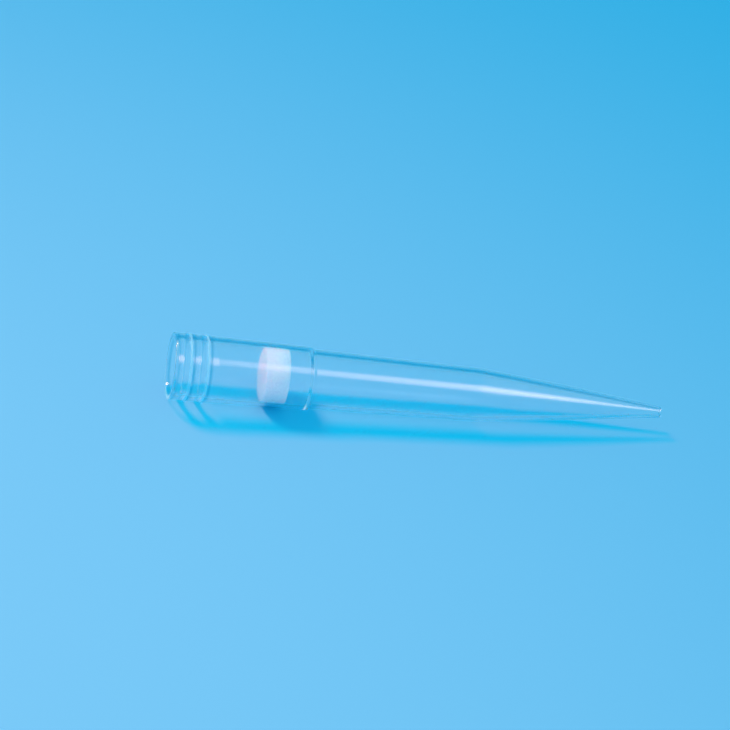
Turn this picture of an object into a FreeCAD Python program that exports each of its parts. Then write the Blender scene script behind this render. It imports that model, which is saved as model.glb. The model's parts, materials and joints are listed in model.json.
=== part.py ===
import FreeCAD, Part
import math
import os

# Filter tip for a 1000 microlitre hand pipette: a clear moulded cone, and the porous plug
# that is pushed into its barrel. All lengths are in millimetres.
#
# Both pieces are turned about the tip's own axis. They are drawn as (along, out) points:
# "along" is the distance from the mouth face towards the narrow end, "out" the distance
# from the axis. The finished tip is then laid on its side on the XY plane, mouth towards -X.

# Stations along the axis, each measured from the mouth face
TIP_LENGTH = 70.0
SOCKET_END = 9.5
SHOULDER = 19.2
KNEE = 43.2

# The hollow, from the mouth to the narrow end
LEAD_IN_DEPTH = 0.45
LEAD_IN_WIDENING = 0.2
SOCKET_DIAMETER = 7.8
BARREL_NARROWING = 0.3
LEDGE_NARROWING = 0.6
CHAMBER_NARROWING = 0.8
BARREL_END_BORE = SOCKET_DIAMETER - BARREL_NARROWING
CHAMBER_BORE = BARREL_END_BORE - LEDGE_NARROWING
KNEE_BORE = CHAMBER_BORE - CHAMBER_NARROWING
ORIFICE_BORE = 0.8
INNER_LEDGE_LEAD = 0.5

# Wall thickness at the same places
COLLAR_WALL = 0.62
BARREL_WALL = 0.6
CHAMBER_WALL = 0.62
KNEE_WALL = 0.64
END_WALL = 0.34
CONE_BELLY = 0.15

# Collar: a lip at the mouth, then rings that each swell out gently and drop back sharply
LIP_HEIGHT = 0.08
LIP_WIDTH = 0.4
LIP_DROP = 0.15
RING_COUNT = 2
RING_PITCH = 2.35
RING_HEIGHT = 0.14
RING_SWELL = 0.9
RING_CREST = 0.3
RING_DROP = 0.3

# Shoulder step on the outside, between the barrel and the long cone
SHOULDER_RUN = 0.4

# Rounding of corners
LIP_ROUNDING = 0.15
CREST_ROUNDING = 0.12
SHOULDER_ROUNDING = 0.15
KNEE_ROUNDING = 12.0
BELLY_ROUNDING = 60.0
END_ROUNDING = 0.08

# Filter plug: a plain cylinder pushed down the tapering barrel until its leading edge bites
FILTER_FACE = 12.6
FILTER_LENGTH = 3.4
FILTER_ROUNDING = 0.3

# A corner may use up to this share of the shorter side beside it
CORNER_SHARE = 0.45


def between(start, end, along):
    """Radius at a distance along a straight wall that runs from start to end."""
    share = (along - start[0]) / (end[0] - start[0])
    return start[1] + share * (end[1] - start[1])


def bore_line():
    """Corners of the hollow as (along, out, rounding), from the mouth to the orifice."""
    socket = SOCKET_DIAMETER / 2
    ledge = SHOULDER - INNER_LEDGE_LEAD
    return [
        (0.0, socket + LEAD_IN_WIDENING, LIP_ROUNDING),
        (LEAD_IN_DEPTH, socket, 0.0),
        (SOCKET_END, socket, 0.0),
        (ledge, BARREL_END_BORE / 2, SHOULDER_ROUNDING),
        (SHOULDER, CHAMBER_BORE / 2, SHOULDER_ROUNDING),
        (KNEE, KNEE_BORE / 2, KNEE_ROUNDING),
        (TIP_LENGTH, ORIFICE_BORE / 2, 0.0),
    ]


def collar_line():
    """Corners of the lip and the rings, from the mouth to the root of the last ring."""
    root = SOCKET_DIAMETER / 2 + COLLAR_WALL
    lip = root + LIP_HEIGHT
    crest = root + RING_HEIGHT
    corners = [
        (0.0, lip, LIP_ROUNDING),
        (LIP_WIDTH, lip, CREST_ROUNDING),
        (LIP_WIDTH + LIP_DROP, root, 0.0),
    ]
    for ring in range(1, RING_COUNT + 1):
        ring_root = LIP_WIDTH + ring * RING_PITCH
        crest_end = ring_root - RING_DROP
        crest_start = crest_end - RING_CREST
        corners += [
            (crest_start - RING_SWELL, root, RING_SWELL),
            (crest_start, crest, CREST_ROUNDING),
            (crest_end, crest, CREST_ROUNDING),
            (ring_root, root, 0.0),
        ]
    return corners


def cone_line():
    """Corners of the outside from the end of the barrel to the narrow end."""
    barrel_end = BARREL_END_BORE / 2 + BARREL_WALL
    chamber = CHAMBER_BORE / 2 + CHAMBER_WALL
    knee = (KNEE, KNEE_BORE / 2 + KNEE_WALL)
    end = (TIP_LENGTH, ORIFICE_BORE / 2 + END_WALL)
    belly = (KNEE + TIP_LENGTH) / 2
    return [
        (SHOULDER, barrel_end, SHOULDER_ROUNDING),
        (SHOULDER + SHOULDER_RUN, chamber, SHOULDER_ROUNDING),
        (*knee, KNEE_ROUNDING),
        (belly, between(knee, end, belly) + CONE_BELLY, BELLY_ROUNDING),
        (*end, END_ROUNDING),
    ]


def in_drawing(corner):
    """Drawing point of a corner: the turning axis is the drawing's X axis."""
    return FreeCAD.Vector(corner[0], 0, corner[1])


def corner_arc(before, corner, after):
    """Arc that rounds one corner, or None for a sharp one, with its two tangent points."""
    point = in_drawing(corner)
    back = in_drawing(before) - point
    on = in_drawing(after) - point
    half_angle = back.getAngle(on) / 2
    reach = corner[2] / math.tan(half_angle)
    reach = min(reach, CORNER_SHARE * min(back.Length, on.Length))
    if reach < 1e-6:
        return None, point, point
    back.normalize()
    on.normalize()
    start = point + back * reach
    end = point + on * reach
    radius = reach * math.tan(half_angle)
    inward = (back + on).normalize()
    middle = point + inward * (radius / math.sin(half_angle) - radius)
    return Part.Arc(start, middle, end).toShape(), start, end


def turned(corners):
    """Solid of a closed outline turned once about the tip's axis."""
    rounded = []
    for index, corner in enumerate(corners):
        after = corners[(index + 1) % len(corners)]
        rounded.append(corner_arc(corners[index - 1], corner, after))
    edges = []
    for index, (arc, start, end) in enumerate(rounded):
        if arc:
            edges.append(arc)
        following = rounded[(index + 1) % len(rounded)][1]
        if (following - end).Length > 1e-6:
            edges.append(Part.LineSegment(end, following).toShape())
    face = Part.Face(Part.Wire(Part.__sortEdges__(edges)))
    origin = FreeCAD.Vector(0, 0, 0)
    return face.revolve(origin, FreeCAD.Vector(1, 0, 0), 360)


def tip_body():
    """The moulded tip: collar, barrel, shoulder and long cone in one piece."""
    outside = collar_line() + cone_line()
    return turned(outside + bore_line()[::-1])


def filter_plug():
    """The porous plug, as wide as the barrel's bore where its leading edge stops."""
    leading_face = FILTER_FACE + FILTER_LENGTH
    bore = bore_line()
    bite = leading_face - FILTER_ROUNDING
    radius = between(bore[2], bore[3], bite)
    return turned([
        (FILTER_FACE, 0.0, 0.0),
        (FILTER_FACE, radius, FILTER_ROUNDING),
        (leading_face, radius, FILTER_ROUNDING),
        (leading_face, 0.0, 0.0),
    ])


def resting_line(balance):
    """The two outside corners that the tip rests on when it lies under its own weight."""
    corners = collar_line() + cone_line()
    pairs = []
    for mouth_side in corners:
        for end_side in corners:
            if mouth_side[0] <= balance < end_side[0]:
                pairs.append((mouth_side, end_side))
    return max(pairs, key=lambda pair: between(pair[0], pair[1], balance))


def laid_down(shape, body):
    """The shape turned to lie with the tip on the XY plane, centred over the origin."""
    balance = body.CenterOfMass.x
    mouth_side, end_side = resting_line(balance)
    slope = (mouth_side[1] - end_side[1]) / (end_side[0] - mouth_side[0])
    lean = FreeCAD.Rotation(FreeCAD.Vector(0, 1, 0), math.degrees(math.atan(slope)))
    leaning = body.copy()
    leaning.Placement = FreeCAD.Placement(FreeCAD.Vector(0, 0, 0), lean)
    box = leaning.optimalBoundingBox(False)
    to_origin = FreeCAD.Vector(-box.Center.x, -box.Center.y, -box.ZMin)
    placed = shape.copy()
    placed.Placement = FreeCAD.Placement(to_origin, lean)
    return placed


os.makedirs("parts", exist_ok=True)
body = tip_body()
pieces = {"tip_body": body, "filter_plug": filter_plug()}
for name, shape in pieces.items():
    placed = laid_down(shape, body)
    placed.exportStep("parts/" + name + ".step")
    box = placed.optimalBoundingBox(False)
    print(name, "volume %.2f mm3" % placed.Volume, "valid", placed.isValid())
    print("  x %.3f..%.3f  y %.3f..%.3f  z %.3f..%.3f" % (
        box.XMin, box.XMax, box.YMin, box.YMax, box.ZMin, box.ZMax))
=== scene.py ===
# %% [markdown]
# # A filter pipette tip
#
# The object is a disposable tip for a 1000 microlitre hand pipette. It has two pieces. The body is
# one injection moulding of clear polypropylene: a collar with a lip and two low rings, a short
# barrel, a shoulder, and a long cone that ends in a fine hole. The filter is a white porous plug
# that a machine pushes into the barrel.
#
# Nothing in it is moved. Both pieces are turned shapes, and clear plastic shows every flat of a
# coarse mesh as a bend in what is seen through it. So the lesson makes each piece again as a much
# finer turned mesh on the same axis, and lets that stand for the CAD node.

import json
import math

import bmesh
import bpy
from mathutils import Matrix, Vector


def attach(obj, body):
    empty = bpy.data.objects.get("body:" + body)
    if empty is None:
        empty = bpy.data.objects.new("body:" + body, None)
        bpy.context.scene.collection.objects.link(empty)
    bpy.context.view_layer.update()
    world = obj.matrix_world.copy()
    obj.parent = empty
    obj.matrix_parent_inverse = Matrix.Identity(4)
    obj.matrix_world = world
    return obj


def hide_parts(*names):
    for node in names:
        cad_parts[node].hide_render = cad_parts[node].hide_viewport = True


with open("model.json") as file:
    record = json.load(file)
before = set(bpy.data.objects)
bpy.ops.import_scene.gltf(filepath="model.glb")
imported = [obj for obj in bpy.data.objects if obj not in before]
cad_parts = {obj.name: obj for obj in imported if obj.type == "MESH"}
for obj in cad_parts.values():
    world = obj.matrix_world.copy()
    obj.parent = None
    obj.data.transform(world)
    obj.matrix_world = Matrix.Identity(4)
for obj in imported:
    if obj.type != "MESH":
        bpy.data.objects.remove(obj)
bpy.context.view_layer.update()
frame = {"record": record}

# %% [markdown]
# ## The tip's own axis
#
# The record says where the socket is and which way it opens. That is enough to know the whole
# axis: the mount's point is the middle of the socket's straight wall, and its direction points out
# of the mouth. Everything below is drawn as (along, out) in millimetres, with "along" counted from
# the mouth face towards the narrow end and "out" counted from the axis.

# %% Axis from the socket mount
MM = 0.001
LEAD_IN_DEPTH = 0.45
SOCKET_END = 9.5

socket = next(mount for mount in frame["record"]["mounts"] if mount["name"] == "socket")
out_of_mouth = Vector(socket["axis"]).normalized()
mouth = Vector(socket["pos_m"]) + out_of_mouth * (LEAD_IN_DEPTH + SOCKET_END) / 2 * MM

along = -out_of_mouth
sideways = Vector((0, 0, 1)).cross(along).normalized()
upwards = along.cross(sideways)
tip_space = Matrix((along, sideways, upwards)).transposed().to_4x4()
tip_space.translation = mouth
print("mouth centre in mm:", [round(c / MM, 2) for c in mouth])

# %% [markdown]
# ## Sizes of the moulding
#
# A tip is drawn from a few stations along its length. At each one the mould has a bore, made by
# the core pin, and a wall. The collar's rings swell out gently and drop back sharply, because that
# is the direction in which the mould's stripper plate pushes the tip off its core. Beyond each
# drop a low tail eases out over about a millimetre. It fills the inner corner, where a sharp edge
# in the steel would crack, and together with a painted shade laid on the plastic there it gives
# each ring its narrow band of shade.

# %% Driving sizes in millimetres
TIP_LENGTH = 70.0
SHOULDER = 19.2
KNEE = 43.2

LEAD_IN_WIDENING = 0.2
SOCKET_DIAMETER = 7.8
BARREL_END_BORE = 7.5
CHAMBER_BORE = 6.9
KNEE_BORE = 6.1
ORIFICE_BORE = 0.8
INNER_LEDGE_LEAD = 0.5

COLLAR_WALL = 0.62
BARREL_WALL = 0.6
CHAMBER_WALL = 0.62
KNEE_WALL = 0.64
END_WALL = 0.34
CONE_BELLY = 0.15

LIP_HEIGHT = 0.08
LIP_WIDTH = 0.4
LIP_DROP = 0.15
RING_COUNT = 2
RING_PITCH = 2.35
RING_HEIGHT = 0.14
RING_SWELL = 0.9
RING_CREST = 0.3
RING_DROP = 0.3
TAIL_HEIGHT = 0.06
TAIL_LENGTH = 0.9
SHOULDER_RUN = 0.4

LIP_ROUNDING = 0.15
CREST_ROUNDING = 0.12
SHOULDER_ROUNDING = 0.15
KNEE_ROUNDING = 12.0
BELLY_ROUNDING = 60.0
END_ROUNDING = 0.08
print("length over collar:", round(TIP_LENGTH / (SOCKET_DIAMETER + 2 * COLLAR_WALL), 2))

# %% [markdown]
# ## The outline
#
# Each corner is (along, out, rounding). The outside runs from the mouth to the narrow end, and the
# bore runs back. A closed outline like this makes a real wall with a real thickness, and a wall is
# what bends light: a single sheet with a glass shader would look like a soap bubble.

# %% Corners of the collar
def collar_corners():
    root = SOCKET_DIAMETER / 2 + COLLAR_WALL
    lip = root + LIP_HEIGHT
    crest = root + RING_HEIGHT
    tail = root + TAIL_HEIGHT
    corners = [
        (0.0, lip, LIP_ROUNDING),
        (LIP_WIDTH, lip, CREST_ROUNDING),
        (LIP_WIDTH + LIP_DROP, tail, CREST_ROUNDING),
    ]
    for ring in range(1, RING_COUNT + 1):
        ring_root = LIP_WIDTH + ring * RING_PITCH
        crest_end = ring_root - RING_DROP
        crest_start = crest_end - RING_CREST
        corners += [
            (crest_start - RING_SWELL, root, RING_SWELL),
            (crest_start, crest, CREST_ROUNDING),
            (crest_end, crest, CREST_ROUNDING),
            (ring_root, tail, CREST_ROUNDING),
        ]
    corners.append((ring_root + TAIL_LENGTH, root, RING_SWELL))
    return corners


print("corners of the collar:", len(collar_corners()))

# %% Corners of the barrel and cone
def cone_corners():
    knee = KNEE_BORE / 2 + KNEE_WALL
    end = ORIFICE_BORE / 2 + END_WALL
    return [
        (SHOULDER, BARREL_END_BORE / 2 + BARREL_WALL, SHOULDER_ROUNDING),
        (SHOULDER + SHOULDER_RUN, CHAMBER_BORE / 2 + CHAMBER_WALL, SHOULDER_ROUNDING),
        (KNEE, knee, KNEE_ROUNDING),
        ((KNEE + TIP_LENGTH) / 2, (knee + end) / 2 + CONE_BELLY, BELLY_ROUNDING),
        (TIP_LENGTH, end, END_ROUNDING),
    ]


outside = collar_corners() + cone_corners()
print("corners outside:", len(outside))

# %% Corners of the bore
bore = [
    (0.0, SOCKET_DIAMETER / 2 + LEAD_IN_WIDENING, LIP_ROUNDING),
    (LEAD_IN_DEPTH, SOCKET_DIAMETER / 2, 0.0),
    (SOCKET_END, SOCKET_DIAMETER / 2, 0.0),
    (SHOULDER - INNER_LEDGE_LEAD, BARREL_END_BORE / 2, SHOULDER_ROUNDING),
    (SHOULDER, CHAMBER_BORE / 2, SHOULDER_ROUNDING),
    (KNEE, KNEE_BORE / 2, KNEE_ROUNDING),
    (TIP_LENGTH, ORIFICE_BORE / 2, 0.0),
]
print("corners of the bore:", len(bore))

# %% [markdown]
# ## Rounding corners
#
# Blender's Bevel tool could round the corners after turning, but it rounds every edge of a mesh
# alike. Rounding the outline first lets each corner have its own radius. The function walks back
# and forth from the corner by the tangent length, finds the arc's centre, and steps round it.
#
# Smooth shading averages the directions of neighbouring faces. Next to a small arc that would bend
# the shading of a whole straight wall. One more point just outside each end of the arc holds the
# bend where it belongs.

# %% Round the corners of an outline
ARC_STEP = math.radians(6)
CORNER_SHARE = 0.45
HOLD = 0.02
HOLD_SHARE = 0.1
SHORTEST_ARC = 1e-6


def arc_points(corner, back, on, radius):
    half_angle = back.angle(on) / 2
    reach = min(radius / math.tan(half_angle), CORNER_SHARE * min(back.length, on.length))
    if reach < SHORTEST_ARC:
        return [corner]
    back, on = back.normalized(), on.normalized()
    centre = corner + (back + on).normalized() * reach / math.cos(half_angle)
    start = corner + back * reach - centre
    turn = start.angle_signed(corner + on * reach - centre)
    steps = max(2, math.ceil(abs(turn) / ARC_STEP))
    arc = [centre + Matrix.Rotation(-turn * step / steps, 2) @ start for step in range(steps + 1)]
    held = reach + min(HOLD, HOLD_SHARE * reach)
    return [corner + back * held, *arc, corner + on * held]


def rounded(corners):
    points = []
    for index, (x, y, radius) in enumerate(corners):
        corner = Vector((x, y))
        back = Vector(corners[index - 1][:2]) - corner
        on = Vector(corners[(index + 1) % len(corners)][:2]) - corner
        points += arc_points(corner, back, on, radius)
    return points


body_outline = rounded(outside + bore[::-1])
print("points in the body's outline:", len(body_outline))

# %% [markdown]
# ## Turning
#
# A turned piece is its outline repeated round the axis. Blender's Screw modifier does the same,
# but a mesh made directly can be given the tip's axis in one go and needs no applying. 256 steps
# make each flat 0.11 mm wide on the collar, which is less than the eye can pick out.
#
# The mesh also carries two notes for the plastic's finish. Each face knows how much of the core
# pin's grind it has, and each point knows how far it stands from the mouth.

# %% Turn an outline into a mesh
STEPS_ROUND = 256
SHARP_ANGLE = math.radians(20)
ON_AXIS = 1e-6
WELD_DISTANCE = 1e-8


def turn_ring(tool, outline, angle, station):
    ring = []
    for point in outline:
        place = Vector((point.x, point.y * math.sin(angle), point.y * math.cos(angle))) * MM
        vertex = tool.verts.new(tip_space @ place)
        vertex[station] = point.x
        ring.append(vertex)
    return ring


def turned(name, outline, grind):
    tool = bmesh.new()
    bore_grind = tool.faces.layers.float.new("bore")
    station = tool.verts.layers.float.new("station")
    angles = [2 * math.pi * step / STEPS_ROUND for step in range(STEPS_ROUND)]
    rings = [turn_ring(tool, outline, angle, station) for angle in angles]
    for ring, following in zip(rings, rings[1:] + rings[:1]):
        for index in range(len(outline)):
            after = (index + 1) % len(outline)
            if max(outline[index].y, outline[after].y) > ON_AXIS:
                corners = (ring[index], ring[after], following[after], following[index])
                tool.faces.new(corners)[bore_grind] = grind[index]
    bmesh.ops.remove_doubles(tool, verts=tool.verts, dist=WELD_DISTANCE)
    bmesh.ops.recalc_face_normals(tool, faces=tool.faces)
    mesh = bpy.data.meshes.new(name)
    tool.to_mesh(mesh)
    tool.free()
    mesh.shade_smooth()
    mesh.set_sharp_from_angle(angle=SHARP_ANGLE)
    piece = bpy.data.objects.new(name, mesh)
    bpy.context.collection.objects.link(piece)
    print(name, "faces:", len(mesh.polygons))
    return piece


# %% [markdown]
# ## The moulding
#
# The outside is made by the polished cavity and the bore by the core pin. The pin is ground along
# its length, so that the cooled tip slides off it, and the bore keeps that fine grind. The lead-in
# at the mouth is polished by hand and has about half of it.

# %% Turn the moulding
LEAD_IN_GRIND = 0.5


def grind_at(index, point):
    if index < narrow_end:
        return 0.0
    return LEAD_IN_GRIND if point.x <= LEAD_IN_DEPTH else 1.0


narrow_end = max(range(len(body_outline)), key=lambda index: body_outline[index].x)
grind = [grind_at(index, point) for index, point in enumerate(body_outline)]
moulding = turned("moulding", body_outline, grind)

# %% [markdown]
# ## The filter plug
#
# The plug is a short cylinder with soft edges. In the CAD part its leading edge touches the bore.
# In the picture two surfaces in the same place would flicker, so here it is made a hair narrower.

# %% Turn the plug
FILTER_FACE = 12.6
FILTER_LENGTH = 3.4
FILTER_ROUNDING = 0.3
FILTER_CLEARANCE = 0.02

filter_end = FILTER_FACE + FILTER_LENGTH
share = (filter_end - FILTER_ROUNDING - SOCKET_END) / (SHOULDER - INNER_LEDGE_LEAD - SOCKET_END)
bore_at_filter = SOCKET_DIAMETER / 2 + share * (BARREL_END_BORE - SOCKET_DIAMETER) / 2
filter_radius = bore_at_filter - FILTER_CLEARANCE
filter_outline = rounded([
    (FILTER_FACE, 0.0, 0.0),
    (FILTER_FACE, filter_radius, FILTER_ROUNDING),
    (filter_end, filter_radius, FILTER_ROUNDING),
    (filter_end, 0.0, 0.0),
])
plug = turned("plug", filter_outline, [0.0] * len(filter_outline))

# %% [markdown]
# ## Standing in for the CAD nodes
#
# Each fine mesh hides its node and stands in for it, riding on the part's one body.

# %% Attach the pieces
for piece, node, slot in (
    (moulding, "tip_body", "clear_polypropylene"),
    (plug, "filter_plug", "sintered_filter"),
):
    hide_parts(node)
    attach(piece, "root")
print("pieces:", [piece.name for piece in (moulding, plug)])

# %% [markdown]
# ## Small helpers for materials
#
# Colours are written as sRGB hex values, the way a paint program shows them, and one function
# turns them into the linear values that shaders use. Another adds a node. Each of its inputs is
# given by name or number, either as a value or as the output of an earlier node.

# %% Material helpers
def colour(hex_value):
    channels = [int(hex_value[i:i + 2], 16) / 255 for i in (1, 3, 5)]
    linear = [c / 12.92 if c <= 0.04045 else ((c + 0.055) / 1.055) ** 2.4 for c in channels]
    return (*linear, 1.0)


def add(tree, kind, inputs=None, **settings):
    node = tree.nodes.new(kind)
    for name, value in settings.items():
        setattr(node, name, value)
    for key, value in (inputs or {}).items():
        if isinstance(value, bpy.types.NodeSocket):
            tree.links.new(value, node.inputs[key])
        else:
            node.inputs[key].default_value = value
    return node


def new_material(name):
    material = bpy.data.materials.new(name)
    material.use_nodes = True
    material.node_tree.nodes.clear()
    return material, material.node_tree


print("mid grey in linear light:", round(colour("#808080")[0], 3))

# %% [markdown]
# ## Polypropylene: the flow of the melt
#
# The body is clarified polypropylene, injected hot into a polished steel mould. Clarified grades
# let nearly all light through, with a trace of haze, and their refractive index is about 1.49.
# What breaks the gloss a little is flow: the melt runs from the mouth to the narrow end and leaves
# very faint streaks along the tip. A stretched noise, used as a bump, gives them. The real streaks
# are a few hundredths of a millimetre wide; they are drawn some tenths wide so that they show.

# %% Flow streaks
STREAK_WIDTH = 0.6 * MM
STREAK_LENGTH = 14 * MM
STREAK_DEPTH = 0.0015 * MM
STREAK_OCTAVES = 2.0


def flow_streaks(tree):
    place = add(tree, "ShaderNodeTexCoord").outputs["Object"]
    stretch = (1 / STREAK_LENGTH, 1 / STREAK_WIDTH, 1 / STREAK_WIDTH)
    stretched = add(tree, "ShaderNodeMapping", {"Vector": place, "Scale": stretch})
    streaks = add(tree, "ShaderNodeTexNoise", {
        "Vector": stretched.outputs["Vector"], "Scale": 1.0, "Detail": STREAK_OCTAVES,
    })
    relief = add(tree, "ShaderNodeBump", {
        "Height": streaks.outputs["Fac"], "Strength": 1.0, "Distance": STREAK_DEPTH,
    })
    return relief.outputs["Normal"]


print("streaks across one collar turn:", round(math.pi * SOCKET_DIAMETER * MM / STREAK_WIDTH))

# %% [markdown]
# ## Polypropylene: the collar's rings
#
# A finished tip is pushed off its core over the rings, and the crests are stretched as they snap
# free. Stretched polypropylene whitens a little. Here the crests are drawn whiter than that, so
# that they also give a painted glint in place of the bright lines that the rings' edges mirror.
# Just past each crest, in the corner of the drop, the wall is at its thickest and bends light the
# most. The dark line that this gives is painted into the plastic there as a deeper colour, a
# painted shade. A thin painted shade also marks the edge of the lip. All of them run round the
# tip in thin strips, so the distance from the mouth is all that is needed to place them. One
# colour ramp holds both kinds: its red channel is the whiter crest with its painted glint, and
# its green channel is the painted shade. The bore has neither.

# %% Painted glint and painted shade on the collar
# Crest white: partly the real white of stretched plastic, partly a painted glint on the rings.
CREST_WHITENING_AND_GLINT = 0.28
BANDS_END = 6.0
# Each stop is a place, the crest's white with its painted glint, and the painted shade. The lip has
# painted shade only.
LIP_SHADE_BAND = [(0.0, 0.0, 0.0), (0.35, 0.0, 0.3), (0.55, 0.0, 1.0), (0.75, 0.0, 0.0)]
RING_GLINT_AND_SHADE_BAND = [
    (-0.6, 0.0, 0.0), (-0.4, CREST_WHITENING_AND_GLINT, 0.0), (-0.15, CREST_WHITENING_AND_GLINT, 0.0),
    (-0.05, 0.0, 0.3), (0.1, 0.0, 1.0), (0.3, 0.0, 0.8), (0.5, 0.0, 0.0),
]

bands = list(LIP_SHADE_BAND)
for ring in range(1, RING_COUNT + 1):
    drop = LIP_WIDTH + ring * RING_PITCH - RING_DROP
    bands += [(drop + offset, whitening_and_glint, painted_shade) for offset, whitening_and_glint, painted_shade in RING_GLINT_AND_SHADE_BAND]
print("stops in the collar's bands:", len(bands))


def collar_glint_and_shade(tree, bore):
    """Whiter crest with its painted glint, and painted shade at the drops, both nought in the bore."""
    station = add(tree, "ShaderNodeAttribute", attribute_name="station").outputs["Fac"]
    share = add(tree, "ShaderNodeMath", {0: station, 1: BANDS_END}, operation="DIVIDE")
    ramp = add(tree, "ShaderNodeValToRGB", {"Fac": share.outputs["Value"]})
    stops = ramp.color_ramp.elements
    stops.remove(stops[1])
    stops[0].color = (0.0, 0.0, 0.0, 1.0)
    for place, whitening_and_glint, painted_shade in bands[1:]:
        stops.new(place / BANDS_END).color = (whitening_and_glint, painted_shade, 0.0, 1.0)
    outside = add(tree, "ShaderNodeMath", {0: 1.0, 1: bore}, operation="SUBTRACT")
    kept = add(tree, "ShaderNodeVectorMath", {
        0: ramp.outputs["Color"], "Scale": outside.outputs["Value"],
    }, operation="SCALE")
    parts = add(tree, "ShaderNodeSeparateXYZ", {"Vector": kept.outputs["Vector"]})
    return parts.outputs["X"], parts.outputs["Y"]


# %% [markdown]
# ## Polypropylene: the skin
#
# The cavity's polish gives the outside a roughness near 0.05, typical of a glossy moulding, and
# the ground core pin gives the bore about three times that. A ray that mirrors inside the wall
# crosses far more plastic than one that goes straight through, and the faint blue of the clarifier
# then shows. That is why the edge of a clear tube is deeper in colour than its middle. So the
# mirror image is tinted in the bore and wherever the skin is met from behind.
#
# A whiter crest, which also stands in as a painted glint, throws most of its light back and lets
# a little through, so it is brightest on top of the tip, where the lamps reach it, and faint
# underneath.

# %% Skin of the moulding
PP_INDEX = 1.49
PP_ROUGHNESS = 0.05
BORE_ROUGHNESS = 0.15
CLEAR = "#FBFEFF"
# Painted shade: the deeper colour laid into the plastic at each ring's drop and at the lip.
PAINTED_DROP_SHADE = "#70DCEC"
# Crest colours: the white of stretched plastic, which also serves as a painted glint.
WHITENED_GLINT = "#C4F0FF"
WHITENED_GLINT_THROUGH = "#406A80"
MIRRORED_INSIDE = (0.25, 0.75, 0.9, 1.0)
WHITE = (1.0, 1.0, 1.0, 1.0)


def inner_mirror(tree, bore, behind):
    inside = add(tree, "ShaderNodeMath", {0: bore, 1: behind}, operation="MAXIMUM")
    tint = add(tree, "ShaderNodeMix", {
        "Factor": inside.outputs["Value"], 6: WHITE, 7: MIRRORED_INSIDE,
    }, data_type="RGBA")
    return tint.outputs[2]


def plastic_skin(tree, bore, behind):
    whitening_and_glint, painted_shade = collar_glint_and_shade(tree, bore)
    finish = add(tree, "ShaderNodeMapRange", {
        "Value": bore, "To Min": PP_ROUGHNESS, "To Max": BORE_ROUGHNESS,
    })
    # Painted shade: the plastic's colour deepens where the drop's strip says so.
    plastic = add(tree, "ShaderNodeMix", {
        "Factor": painted_shade, 6: colour(CLEAR), 7: colour(PAINTED_DROP_SHADE),
    }, data_type="RGBA")
    clear = add(tree, "ShaderNodeBsdfPrincipled", {
        "Base Color": plastic.outputs[2], "Roughness": finish.outputs["Result"],
        "Normal": flow_streaks(tree), "Specular Tint": inner_mirror(tree, bore, behind),
        "Metallic": 0.0, "IOR": PP_INDEX, "Transmission Weight": 1.0,
    })
    # The crests: partly the real white of stretched plastic, partly a painted glint.
    lit = add(tree, "ShaderNodeBsdfDiffuse", {"Color": colour(WHITENED_GLINT)})
    lit_through = add(tree, "ShaderNodeBsdfTranslucent", {"Color": colour(WHITENED_GLINT_THROUGH)})
    whitened_glint = add(tree, "ShaderNodeAddShader", {0: lit.outputs[0], 1: lit_through.outputs[0]})
    skin = add(tree, "ShaderNodeMixShader", {
        "Fac": whitening_and_glint, 1: clear.outputs["BSDF"], 2: whitened_glint.outputs[0],
    })
    return skin.outputs[0]


print("part of straight light that one skin mirrors:", round(((PP_INDEX - 1) / (PP_INDEX + 1)) ** 2, 3))

# %% [markdown]
# ## Polypropylene: light on its way
#
# Two kinds of ray need help, because a renderer follows light backwards and gives up after a few
# bounces.
#
# A ray caught inside the wall is mirrored again and again and would end as a black speck. Real
# light gets out somewhere. So after three mirrorings the wall lets the ray go straight on.
#
# A lamp's light is bent by the wall into fine bright lines that a renderer finds only by luck, as
# noise. So for light on its way to another surface the wall is a thin tinted sheet. Light that
# meets the tip head on goes through to the board. Light that meets it at a slant is bent aside. So
# the shadow of a clear tube has a light middle and dark borders, and there the sheet takes the warm
# lamp's red away and leaves the blue that the whole room sends.
#
# The filter needs a tint of its own. The wall pipes white lamp light to it that a straight ray
# doesn't gather, and to make up for that the sheet takes a little green away. Such a ray starts in
# the bore, so the bore is the first skin that it meets.

# %% Rays that pass straight through
MOST_MIRRORINGS = 2.5
CAUGHT_TINT = (0.75, 0.96, 1.0, 1.0)
MIDDLE_TINT = (0.9, 1.0, 1.0, 1.0)
BORDER_TINT = (0.0, 0.82, 0.93, 1.0)
BORDER_SLANT = (0.15, 0.27)
FILTER_TINT = (1.0, 0.83, 0.94, 1.0)


def shadow_tint(tree):
    """Light where the skin faces the ray, deep where it slants away."""
    slant = add(tree, "ShaderNodeLayerWeight", {"Blend": 0.5}).outputs["Facing"]
    border = add(tree, "ShaderNodeMapRange", {
        "Value": slant, "From Min": BORDER_SLANT[0], "From Max": BORDER_SLANT[1],
    }, interpolation_type="SMOOTHSTEP")
    tint = add(tree, "ShaderNodeMix", {
        "Factor": border.outputs["Result"], 6: MIDDLE_TINT, 7: BORDER_TINT,
    }, data_type="RGBA")
    return tint.outputs[2]


def light_tint(tree, bore, behind, skins_passed):
    from_bore = add(tree, "ShaderNodeMath", {0: bore, 1: skins_passed}, operation="GREATER_THAN")
    inner = add(tree, "ShaderNodeMix", {
        "Factor": from_bore.outputs["Value"], 6: WHITE, 7: FILTER_TINT,
    }, data_type="RGBA")
    outside = add(tree, "ShaderNodeMath", {0: 1.0, 1: bore}, operation="SUBTRACT")
    first_skin = add(tree, "ShaderNodeMath", {
        0: outside.outputs["Value"], 1: behind,
    }, operation="SUBTRACT", use_clamp=True)
    tint = add(tree, "ShaderNodeMix", {
        "Factor": first_skin.outputs["Value"], 6: inner.outputs[2], 7: shadow_tint(tree),
    }, data_type="RGBA")
    return tint.outputs[2]


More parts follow.
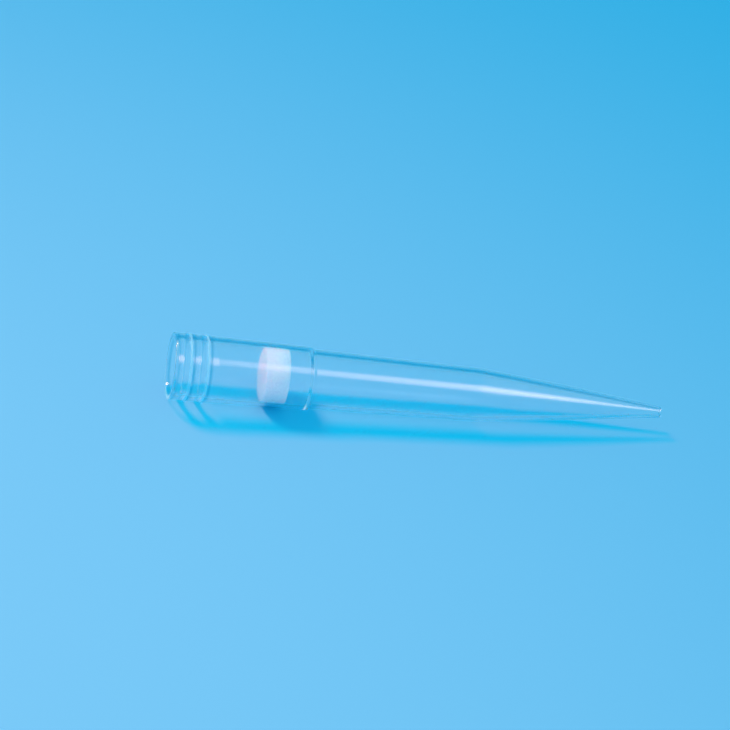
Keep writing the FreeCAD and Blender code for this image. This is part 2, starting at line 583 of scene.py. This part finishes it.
def straight_through(tree, bore, behind):
    """How much of a ray goes straight on, and the sheet that it goes through."""
    rays = add(tree, "ShaderNodeLightPath").outputs
    caught = add(tree, "ShaderNodeMath", {
        0: rays["Glossy Depth"], 1: MOST_MIRRORINGS,
    }, operation="GREATER_THAN")
    lighting = add(tree, "ShaderNodeMath", {
        0: rays["Is Shadow Ray"], 1: rays["Diffuse Depth"],
    }, operation="MAXIMUM", use_clamp=True)
    passing = add(tree, "ShaderNodeMath", {
        0: caught.outputs["Value"], 1: lighting.outputs["Value"],
    }, operation="MAXIMUM")
    lit_way = light_tint(tree, bore, behind, rays["Transparent Depth"])
    tint = add(tree, "ShaderNodeMix", {
        "Factor": lighting.outputs["Value"], 6: CAUGHT_TINT, 7: lit_way,
    }, data_type="RGBA")
    sheet = add(tree, "ShaderNodeBsdfTransparent", {"Color": tint.outputs[2]})
    return passing.outputs["Value"], sheet.outputs["BSDF"]


print("lamp red left in the middle and borders:", MIDDLE_TINT[0], BORDER_TINT[0])

# %% Put the polypropylene together
def moulded_polypropylene():
    material, tree = new_material("injection-moulded clear polypropylene")
    bore = add(tree, "ShaderNodeAttribute", attribute_name="bore").outputs["Fac"]
    behind = add(tree, "ShaderNodeNewGeometry").outputs["Backfacing"]
    passing, sheet = straight_through(tree, bore, behind)
    wall = add(tree, "ShaderNodeMixShader", {
        "Fac": passing, 1: plastic_skin(tree, bore, behind), 2: sheet,
    })
    add(tree, "ShaderNodeOutputMaterial", {"Surface": wall.outputs[0]})
    return material


moulding.data.materials.append(moulded_polypropylene())
print("material:", moulding.data.materials[0].name)

# %% [markdown]
# ## Sintered polyethylene
#
# The plug is made by filling a mould with polyethylene powder and heating it until the grains just
# weld together. The result is a stiff white sponge with grains of about a tenth of a millimetre.
# Light goes a little way in and comes out again, so it looks soft and bright, and red goes in
# farthest. Polyethylene's refractive index is about 1.51, and its sponge has hardly any gloss. A
# Voronoi pattern gives the rounded grains, with painted shade, a darker grey, in the gaps between
# them. They are drawn at a quarter of a millimetre so that they show.

# %% Make the sintered filter
PE_INDEX = 1.51
PE_ROUGHNESS = 0.85
GRAIN = 0.25 * MM
GRAIN_DEPTH = 0.05 * MM
GRAIN_ROUNDING = 0.4
GRAIN_RELIEF = 0.6
LIGHT_DEPTH = 4.0 * MM
DEPTH_BY_COLOUR = (3.0, 1.0, 0.8)
GRAIN_WHITE = "#FAF6F9"
# Painted shade for the gaps between the grains.
GAP_PAINTED_SHADE = "#E6E0E8"


def sintered_polyethylene():
    material, tree = new_material("sintered porous polyethylene")
    place = add(tree, "ShaderNodeTexCoord").outputs["Object"]
    grains = add(tree, "ShaderNodeTexVoronoi", {
        "Vector": place, "Scale": 1 / GRAIN, "Smoothness": GRAIN_ROUNDING,
    }, feature="SMOOTH_F1").outputs["Distance"]
    relief = add(tree, "ShaderNodeBump", {
        "Height": grains, "Strength": GRAIN_RELIEF, "Distance": GRAIN_DEPTH,
    }, invert=True)
    # The gaps are mixed darker, as painted shade.
    tint = add(tree, "ShaderNodeMix", {
        "Factor": grains, 6: colour(GRAIN_WHITE), 7: colour(GAP_PAINTED_SHADE),
    }, data_type="RGBA")
    sponge = add(tree, "ShaderNodeBsdfPrincipled", {
        "Base Color": tint.outputs[2], "Normal": relief.outputs["Normal"],
        "Metallic": 0.0, "IOR": PE_INDEX, "Roughness": PE_ROUGHNESS, "Subsurface Weight": 1.0,
        "Subsurface Radius": DEPTH_BY_COLOUR, "Subsurface Scale": LIGHT_DEPTH,
    })
    add(tree, "ShaderNodeOutputMaterial", {"Surface": sponge.outputs["BSDF"]})
    return material


plug.data.materials.append(sintered_polyethylene())
print("material:", plug.data.materials[0].name)

# %% [markdown]
# ## The surface it lies on
#
# Clear plastic has hardly any colour of its own. It shows what is behind it, so the floor matters
# as much as the tip. A plain pale blue board lets the outline, the wall and the white filter all
# be seen.

# %% Floor
FLOOR_SIZE = 3.0
PAINT = "#86CEF7"
PAINT_ROUGHNESS = 0.9
PAINT_GLOSS = 0.2


def painted_board():
    material, tree = new_material("matt painted board")
    skin = add(tree, "ShaderNodeBsdfPrincipled", {
        "Base Color": colour(PAINT), "Metallic": 0.0, "Roughness": PAINT_ROUGHNESS,
        "Specular IOR Level": PAINT_GLOSS,
    })
    add(tree, "ShaderNodeOutputMaterial", {"Surface": skin.outputs["BSDF"]})
    return material


half = FLOOR_SIZE / 2
floor_corners = [(-half, -half, 0), (half, -half, 0), (half, half, 0), (-half, half, 0)]
floor_mesh = bpy.data.meshes.new("floor")
floor_mesh.from_pydata(floor_corners, [], [(0, 1, 2, 3)])
floor_mesh.materials.append(painted_board())
floor = bpy.data.objects.new("floor", floor_mesh)
bpy.context.collection.objects.link(floor)
print("floor:", FLOOR_SIZE, "m square")

# %% [markdown]
# ## Camera
#
# The camera looks down at about 33 degrees with a long lens, so that the tip hardly tapers from
# perspective. It sees the tip from the side and a little from the mouth end: the narrow end is
# farther away. Two things are known as the camera sees them: the direction in which the tip runs
# and the place of its mouth. The function works backwards from them. It finds the world's "up" as
# the camera sees it, from the camera's height and the tip's own lean. Tip and "up" together then
# give the camera's right, up and back in the world.

# %% Place the camera
LENS = 142.8
SENSOR = 36.0
NEAREST_SEEN = 10 * MM
ELEVATION = math.radians(32.6)
TIP_SEEN = Vector((0.97317, -0.09379, -0.21009))
MOUTH_SEEN = Vector((-26.485, -0.077, -394.228)) * MM


def world_up_seen():
    sight = math.sin(ELEVATION)
    flat = Vector((TIP_SEEN.x, TIP_SEEN.y))
    along_flat = (along.z - sight * TIP_SEEN.z) / flat.length
    across_flat = math.sqrt(math.cos(ELEVATION) ** 2 - along_flat ** 2)
    flat.normalize()
    return Vector((
        along_flat * flat.x - across_flat * flat.y,
        along_flat * flat.y + across_flat * flat.x,
        sight,
    ))


def camera_axes():
    up_seen = world_up_seen()
    side_seen = up_seen.cross(TIP_SEEN).normalized()
    level_seen = side_seen.cross(up_seen)
    world_up = Vector((0, 0, 1))
    level = Vector((along.x, along.y, 0)).normalized()
    seen = Matrix((level_seen, side_seen, up_seen))
    real = Matrix((level, world_up.cross(level), world_up)).transposed()
    return real @ seen


camera_turn = camera_axes()
camera_data = bpy.data.cameras.new("camera")
camera_data.lens = LENS
camera_data.sensor_width = SENSOR
camera_data.clip_start = NEAREST_SEEN
camera = bpy.data.objects.new("camera", camera_data)
bpy.context.collection.objects.link(camera)
camera.matrix_world = Matrix.Translation(mouth - camera_turn @ MOUTH_SEEN) @ camera_turn.to_4x4()
bpy.context.scene.camera = camera
print("camera at mm:", [round(c / MM, 1) for c in camera.location])

# %% [markdown]
# ## Lamps
#
# The shadows round a clear tip on a blue board are deep cyan, not grey. That happens where a warm
# lamp and a blue room together make white light: what the tip takes out of the lamp's light leaves
# only the blue. So the key lamp is orange, the room below is cyan, and the board between them
# looks evenly pale.
#
# The key stands behind and to the left, and throws the shadow towards the camera. A grid on its
# front narrows it to a pool that fades to the right and to the back. It is small, so the lip shows
# it as one hard glint. Its direction is given as the camera sees it.

# %% Key lamp
DISTANCE = 1.0
KEY_FROM = Vector((-0.41, 0.90, 0.11))
KEY_POOL = Vector((-110.0, -75.0, 0.0)) * MM
KEY_SIZE = (0.26, 0.26)
KEY_WATTS = 0.43
KEY_COLOUR = (1.0, 0.38, 0.25)
KEY_GRID = math.radians(31)


def place_lamp(name, toward_lamp, aim, size, watts, tint):
    data = bpy.data.lights.new(name, "AREA")
    data.shape = "RECTANGLE"
    data.size, data.size_y = size
    data.energy = watts
    data.color = tint
    side = (along - toward_lamp * along.dot(toward_lamp)).normalized()
    turn = Matrix((side, toward_lamp.cross(side), toward_lamp)).transposed()
    lamp = bpy.data.objects.new(name, data)
    lamp.matrix_world = Matrix.Translation(aim + toward_lamp * DISTANCE) @ turn.to_4x4()
    bpy.context.collection.objects.link(lamp)
    print(name, "direction:", [round(c, 2) for c in toward_lamp])
    return lamp


toward_key = (camera_turn @ KEY_FROM).normalized()
key = place_lamp("key", toward_key, KEY_POOL, KEY_SIZE, KEY_WATTS, KEY_COLOUR)
key.data.spread = KEY_GRID

# %% [markdown]
# The soft box draws the long bright line along the cone. A cone mirrors a lamp as a line where its
# surface faces half way between the lamp and the eye, so the lamp's direction is worked out from
# the line's place: how far up the cone it lies, and how far along the tip the lamp stands. The box
# is brightest in the middle, as a real one is, and the line gets soft edges from that. Black cards
# keep it off the board. In Blender, light linking does the cards' work: the lamp lights only the
# pieces in one collection.
#
# The bore mirrors the box a second time, as a fainter line below the first. The real bore's ground
# finish scatters that line away. Here the box is hidden from rays that have gone into the plastic.

# %% Soft box
SOFT_BOX_UP_THE_CONE = math.radians(29)
SOFT_BOX_ALONG = 0.39
SOFT_BOX_SIZE = (0.66, 0.64)
SOFT_BOX_WATTS = 6.4
SOFT_BOX_COLOUR = (1.0, 0.58, 0.53)
GLOW_EDGE = (0.5, 0.1)
GLOW_MIDDLE = (0.1, 1.6)
LAMP_CENTRE = (0.5, 0.5, 0.0)


def off_the_cone():
    to_eye = Vector((0, 0, 1))
    facing = (to_eye - TIP_SEEN * to_eye.dot(TIP_SEEN)).normalized()
    above = facing.cross(TIP_SEEN)
    around = facing * math.cos(SOFT_BOX_UP_THE_CONE) + above * math.sin(SOFT_BOX_UP_THE_CONE)
    seen = TIP_SEEN * SOFT_BOX_ALONG + around * math.sqrt(1 - SOFT_BOX_ALONG ** 2)
    return (camera_turn @ seen).normalized()


def fade_to_the_edge(lamp):
    lamp.data.use_nodes = True
    tree = lamp.data.node_tree
    across = add(tree, "ShaderNodeNewGeometry").outputs["Parametric"]
    off_centre = add(tree, "ShaderNodeVectorMath", {
        0: across, 1: LAMP_CENTRE,
    }, operation="DISTANCE")
    fade = add(tree, "ShaderNodeMapRange", {
        "Value": off_centre.outputs["Value"], "From Min": GLOW_EDGE[0], "To Min": GLOW_EDGE[1],
        "From Max": GLOW_MIDDLE[0], "To Max": GLOW_MIDDLE[1],
    })
    tree.links.new(fade.outputs["Result"], tree.nodes["Emission"].inputs["Strength"])


middle = mouth + along * TIP_LENGTH / 2 * MM
soft_box = place_lamp(
    "soft box", off_the_cone(), middle, SOFT_BOX_SIZE, SOFT_BOX_WATTS, SOFT_BOX_COLOUR,
)
soft_box.data.shape = "ELLIPSE"
soft_box.visible_transmission = False
fade_to_the_edge(soft_box)
lit_pieces = bpy.data.collections.new("lit by the soft box")
for piece in (moulding, plug):
    lit_pieces.objects.link(piece)
soft_box.light_linking.receiver_collection = lit_pieces

# %% [markdown]
# ## The room
#
# The room has two jobs. It fills the shadows, and there it is one even cyan. It is also what the
# plastic mirrors and bends into view. Mirrored, it is pale blue overhead and deep blue near the
# horizon, with one bright place: a window on the right, which shows as a glint on the lip and as a
# sheen on the far side. Bent through the edge of the wall it is deep blue all round, and that draws
# the dark outline by which the eye knows a clear thing.

# %% What the plastic mirrors
LOW_BLUE = "#0AA0D7"
HIGH_BLUE = "#86D0F6"
HIGH = (0.35, 0.6)
WINDOW = (0.3, 0.5)


def rising(tree, value, limits):
    """Nought below the first limit, one above the second, smooth between."""
    step = add(tree, "ShaderNodeMapRange", {
        "Value": value, "From Min": limits[0], "From Max": limits[1],
    }, interpolation_type="SMOOTHSTEP")
    return step.outputs["Result"]


def mirrored_room(tree):
    direction = add(tree, "ShaderNodeTexCoord").outputs["Generated"]
    split = add(tree, "ShaderNodeSeparateXYZ", {"Vector": direction})
    high = rising(tree, split.outputs["Z"], HIGH)
    window = add(tree, "ShaderNodeMath", {
        0: rising(tree, split.outputs["X"], WINDOW), 1: high,
    }, operation="MULTIPLY").outputs["Value"]
    room = add(tree, "ShaderNodeMix", {
        "Factor": high, 6: colour(LOW_BLUE), 7: colour(HIGH_BLUE),
    }, data_type="RGBA").outputs[2]
    return add(tree, "ShaderNodeMix", {
        "Factor": window, 6: room, 7: WHITE,
    }, data_type="RGBA").outputs[2]


print("pale blue from degrees up:", round(math.degrees(math.asin(HIGH[1]))))

# %% The room round the tip
FILL_COLOUR = (0.03, 0.66, 0.82, 1.0)


def seen_directly(tree, rays):
    """One for a ray that the eye follows, nought for light that falls on something."""
    seen = add(tree, "ShaderNodeMath", {
        0: rays["Is Camera Ray"], 1: rays["Is Glossy Ray"],
    }, operation="MAXIMUM").outputs["Value"]
    seen_or_bent = add(tree, "ShaderNodeMath", {
        0: seen, 1: rays["Is Transmission Ray"],
    }, operation="MAXIMUM").outputs["Value"]
    return add(tree, "ShaderNodeMath", {
        0: seen_or_bent, 1: rays["Diffuse Depth"],
    }, operation="SUBTRACT", use_clamp=True).outputs["Value"]


def blue_room():
    world = bpy.data.worlds.new("blue room")
    world.use_nodes = True
    tree = world.node_tree
    tree.nodes.clear()
    rays = add(tree, "ShaderNodeLightPath").outputs
    view = add(tree, "ShaderNodeMix", {
        "Factor": rays["Is Transmission Ray"], 6: mirrored_room(tree), 7: colour(LOW_BLUE),
    }, data_type="RGBA").outputs[2]
    fill = add(tree, "ShaderNodeBackground", {"Color": FILL_COLOUR, "Strength": 1.0})
    backdrop = add(tree, "ShaderNodeBackground", {"Color": view, "Strength": 1.0})
    room = add(tree, "ShaderNodeMixShader", {
        "Fac": seen_directly(tree, rays), 1: fill.outputs[0], 2: backdrop.outputs[0],
    })
    add(tree, "ShaderNodeOutputWorld", {"Surface": room.outputs[0]})
    return world


bpy.context.scene.world = blue_room()
bpy.context.scene.view_settings.view_transform = "Standard"
print("world:", bpy.context.scene.world.name)
